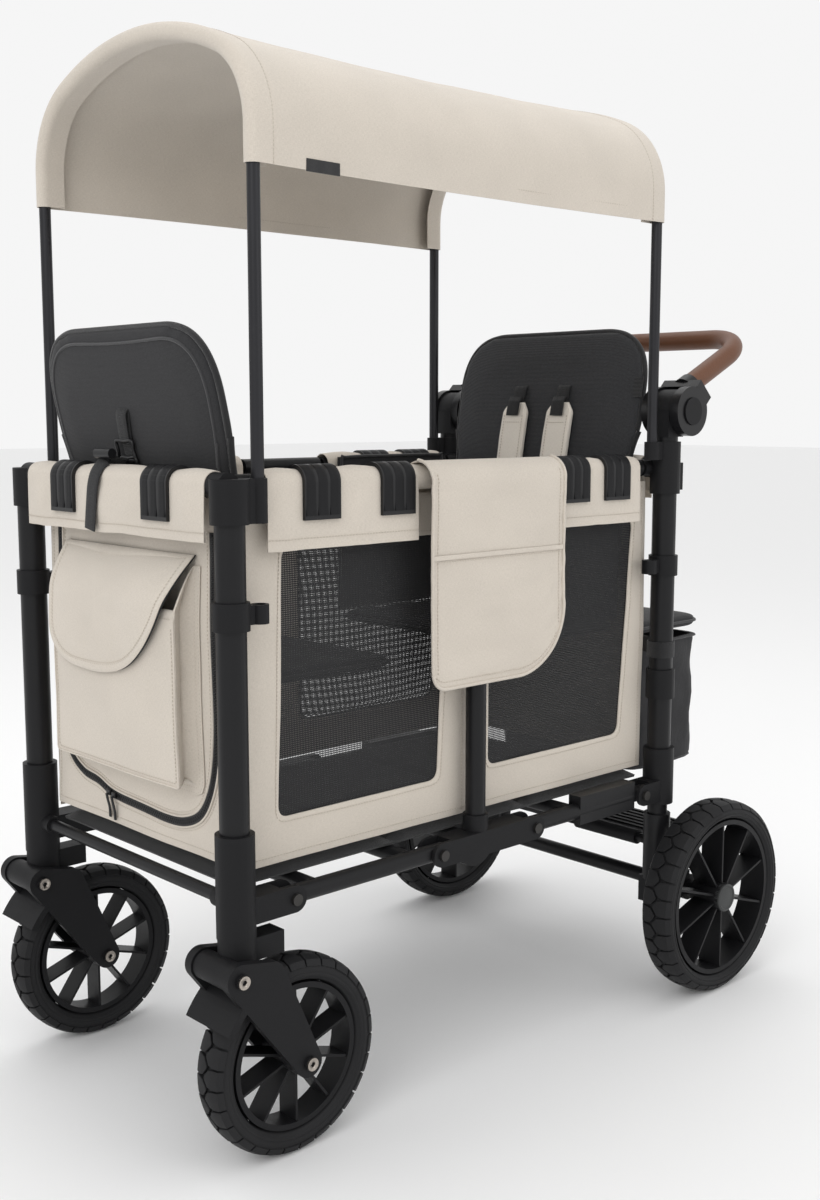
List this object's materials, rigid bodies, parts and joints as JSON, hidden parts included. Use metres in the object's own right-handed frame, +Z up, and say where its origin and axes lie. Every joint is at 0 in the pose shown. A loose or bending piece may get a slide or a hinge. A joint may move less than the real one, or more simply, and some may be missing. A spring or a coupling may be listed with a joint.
{
  "type": "folding pull wagon",
  "caption": "Folding two-seat pull wagon with fabric basket, arched canopy, swivelling front casters, large rear wheels and tilting push handle.",
  "frame": {"origin": "middle of the wagon's footprint, on the ground", "axes": "+Z up, +Y towards the push handle and the large rear wheels, -Y towards the casters, X across"},
  "size_m": [0.624, 1.0544, 1.325],
  "materials": {
    "black_steel": "satin black powder coat",
    "black_nylon": "moulded black nylon, fine texture",
    "bolt_steel": "bright rivets and bolts",
    "canvas": "ecru woven canvas, lightly heathered",
    "seat_cloth": "charcoal heather cloth, padded",
    "pad_cloth": "ecru padded webbing",
    "black_cloth": "black nylon cloth and webbing",
    "grey_nylon": "grey moulded insert",
    "hoop_alloy": "dark anodised tube",
    "grip_leather": "brown stitched leather",
    "tyre_rubber": "foam-filled rubber tread"
  },
  "bodies": {
    "rear_frame": {"rear_posts": "black_steel", "rear_clamps": "black_nylon", "rear_sockets": "black_nylon", "rear_top_rail": "black_steel", "handle_bases": "black_nylon", "rear_pivot_bolts": "bolt_steel", "rear_panel": "canvas", "basket": "canvas", "rear_seat": "seat_cloth", "rear_bag": "black_cloth"},
    "bag_lid": {"bag_lid": "black_cloth"},
    "rear_back": {"rear_seat_back": "seat_cloth", "rear_harness": "pad_cloth"},
    "rear_axle": {"rear_legs": "black_steel"},
    "rear_left_wheel": {"rear_left_rim": "black_nylon", "rear_left_tyre": "tyre_rubber"},
    "rear_right_wheel": {"rear_right_rim": "black_nylon", "rear_right_tyre": "tyre_rubber"},
    "brake": {"brake_pedal": "black_nylon"},
    "handle": {"handle_hubs": "black_nylon", "handle_bar": "black_steel", "handle_grip": "grip_leather"},
    "left_handle_button": {"left_handle_button": "black_nylon"},
    "right_handle_button": {"right_handle_button": "black_nylon"},
    "left_latch": {"left_latch_button": "grey_nylon"},
    "right_latch": {"right_latch_button": "grey_nylon"},
    "rear_links": {"rear_bottom_links": "black_steel"},
    "rear_rails": {"rear_top_links": "black_steel", "rear_rail_clips": "black_nylon"},
    "mid_frame": {"mid_brackets": "black_nylon", "mid_posts": "black_steel", "mid_pivot_bolts": "bolt_steel", "side_flap": "canvas"},
    "front_links": {"front_bottom_links": "black_steel"},
    "front_rails": {"front_top_links": "black_steel", "front_rail_clips": "black_nylon"},
    "front_frame": {"front_posts": "black_steel", "front_clamps": "black_nylon", "front_sockets": "black_nylon", "front_crossbar": "black_steel", "front_top_rail": "black_steel", "front_pivot_bolts": "bolt_steel", "front_panel": "canvas", "front_clips": "black_nylon", "front_seat": "seat_cloth", "recline_strap": "black_cloth"},
    "pocket_flap": {"pocket_flap": "canvas"},
    "front_back": {"front_seat_back": "seat_cloth", "front_harness": "pad_cloth"},
    "left_caster": {"left_swivel": "black_nylon"},
    "right_caster": {"right_swivel": "black_nylon"},
    "left_suspension": {"left_fork": "black_nylon"},
    "right_suspension": {"right_fork": "black_nylon"},
    "front_left_wheel": {"front_left_rim": "black_nylon", "front_left_tyre": "tyre_rubber"},
    "front_right_wheel": {"front_right_rim": "black_nylon", "front_right_tyre": "tyre_rubber"},
    "rear_canopy": {"rear_hoop": "hoop_alloy", "canopy": "canvas"},
    "front_canopy": {"front_hoop": "hoop_alloy"}
  },
  "joints": [
    {"name": "fold", "type": "hinge", "parent": "rear_frame", "child": "rear_links", "pos_m": [0, 0.25276, 0.312], "axis": [-1, 0, 0], "range_deg": [0, 75], "deforming": ["basket", "rear_seat", "front_seat", "side_flap", "canopy", "recline_strap"]},
    {"name": "mid_level", "type": "hinge", "parent": "rear_links", "child": "mid_frame", "pos_m": [0, 0.01276, 0.312], "axis": [1, 0, 0], "range_deg": [0, 75]},
    {"name": "front_fold", "type": "hinge", "parent": "mid_frame", "child": "front_links", "pos_m": [0, -0.16525, 0.312], "axis": [1, 0, 0], "range_deg": [0, 75]},
    {"name": "front_level", "type": "hinge", "parent": "front_links", "child": "front_frame", "pos_m": [0, -0.40525, 0.312], "axis": [-1, 0, 0], "range_deg": [0, 75]},
    {"name": "rear_rail_fold", "type": "hinge", "parent": "rear_frame", "child": "rear_rails", "pos_m": [0, 0.25276, 0.795], "axis": [-1, 0, 0], "range_deg": [0, 75]},
    {"name": "front_rail_fold", "type": "hinge", "parent": "mid_frame", "child": "front_rails", "pos_m": [0, -0.16525, 0.795], "axis": [1, 0, 0], "range_deg": [0, 75]},
    {"name": "handle_tilt", "type": "hinge", "parent": "rear_frame", "child": "handle", "pos_m": [0, 0.32276, 0.877], "axis": [1, 0, 0], "range_deg": [-50, 50]},
    {"name": "left_handle_press", "type": "slide", "parent": "handle", "child": "left_handle_button", "axis": [1, 0, 0], "range_m": [0, 0.0028], "stiffness_N_per_m": 400, "springref_m": -0.003},
    {"name": "right_handle_press", "type": "slide", "parent": "handle", "child": "right_handle_button", "axis": [-1, 0, 0], "range_m": [0, 0.0028], "stiffness_N_per_m": 400, "springref_m": -0.003},
    {"name": "left_latch_press", "type": "slide", "parent": "rear_frame", "child": "left_latch", "axis": [0, -1, 0], "range_m": [0, 0.003], "stiffness_N_per_m": 400, "springref_m": -0.003},
    {"name": "right_latch_press", "type": "slide", "parent": "rear_frame", "child": "right_latch", "axis": [0, -1, 0], "range_m": [0, 0.003], "stiffness_N_per_m": 400, "springref_m": -0.003},
    {"name": "left_swivel_turn", "type": "hinge", "parent": "front_frame", "child": "left_caster", "pos_m": [-0.225, -0.47924, 0.281], "axis": [0, 0, 1], "continuous": true},
    {"name": "left_spring_arm", "type": "hinge", "parent": "left_caster", "child": "left_suspension", "pos_m": [-0.225, -0.50325, 0.247], "axis": [1, 0, 0], "range_deg": [0, 5], "stiffness_Nm_per_rad": 80, "springref_deg": -14.32},
    {"name": "front_left_roll", "type": "hinge", "parent": "left_suspension", "child": "front_left_wheel", "pos_m": [-0.225, -0.40725, 0.12], "axis": [1, 0, 0], "continuous": true},
    {"name": "rear_left_roll", "type": "hinge", "parent": "rear_axle", "child": "rear_left_wheel", "pos_m": [-0.286, 0.36475, 0.146], "axis": [1, 0, 0], "continuous": true},
    {"name": "right_swivel_turn", "type": "hinge", "parent": "front_frame", "child": "right_caster", "pos_m": [0.225, -0.47924, 0.281], "axis": [0, 0, 1], "continuous": true},
    {"name": "right_spring_arm", "type": "hinge", "parent": "right_caster", "child": "right_suspension", "pos_m": [0.225, -0.50325, 0.247], "axis": [1, 0, 0], "range_deg": [0, 5], "stiffness_Nm_per_rad": 80, "springref_deg": -14.32},
    {"name": "front_right_roll", "type": "hinge", "parent": "right_suspension", "child": "front_right_wheel", "pos_m": [0.225, -0.40725, 0.12], "axis": [1, 0, 0], "continuous": true},
    {"name": "rear_right_roll", "type": "hinge", "parent": "rear_axle", "child": "rear_right_wheel", "pos_m": [0.286, 0.36475, 0.146], "axis": [1, 0, 0], "continuous": true},
    {"name": "rear_spring", "type": "slide", "parent": "rear_frame", "child": "rear_axle", "axis": [0, 0, 1], "range_m": [0, 0.015], "stiffness_N_per_m": 8000, "springref_m": -0.03},
    {"name": "brake_press", "type": "hinge", "parent": "rear_axle", "child": "brake", "pos_m": [0.13, 0.30475, 0.226], "axis": [-1, 0, 0], "range_deg": [0, 20]},
    {"name": "rear_recline", "type": "hinge", "parent": "rear_frame", "child": "rear_back", "pos_m": [0, 0.23849, 0.5863], "axis": [1, 0, 0], "range_deg": [0, 20], "deforming": ["rear_seat"]},
    {"name": "front_recline", "type": "hinge", "parent": "front_frame", "child": "front_back", "pos_m": [0, -0.39036, 0.5863], "axis": [-1, 0, 0], "range_deg": [0, 20], "deforming": ["front_seat", "recline_strap"]},
    {"name": "pocket_open", "type": "hinge", "parent": "front_frame", "child": "pocket_flap", "pos_m": [0, -0.49505, 0.712], "axis": [-1, 0, 0], "range_deg": [0, 150]},
    {"name": "lid_open", "type": "hinge", "parent": "rear_frame", "child": "bag_lid", "pos_m": [0, 0.33776, 0.5564], "axis": [1, 0, 0], "range_deg": [0, 100]},
    {"name": "rear_canopy_slide", "type": "slide", "parent": "rear_frame", "child": "rear_canopy", "axis": [0, 0, 1], "range_m": [-0.13, 0]},
    {"name": "front_canopy_slide", "type": "slide", "parent": "front_frame", "child": "front_canopy", "axis": [0, 0, 1], "range_m": [-0.13, 0]}
  ],
  "couplings": [
    {"joint": "mid_level", "follows": "fold", "ratio": 1},
    {"joint": "front_fold", "follows": "fold", "ratio": 1},
    {"joint": "front_level", "follows": "fold", "ratio": 1},
    {"joint": "rear_rail_fold", "follows": "fold", "ratio": 1},
    {"joint": "front_rail_fold", "follows": "fold", "ratio": 1},
    {"joint": "front_canopy_slide", "follows": "rear_canopy_slide", "ratio": 1}
  ]
}
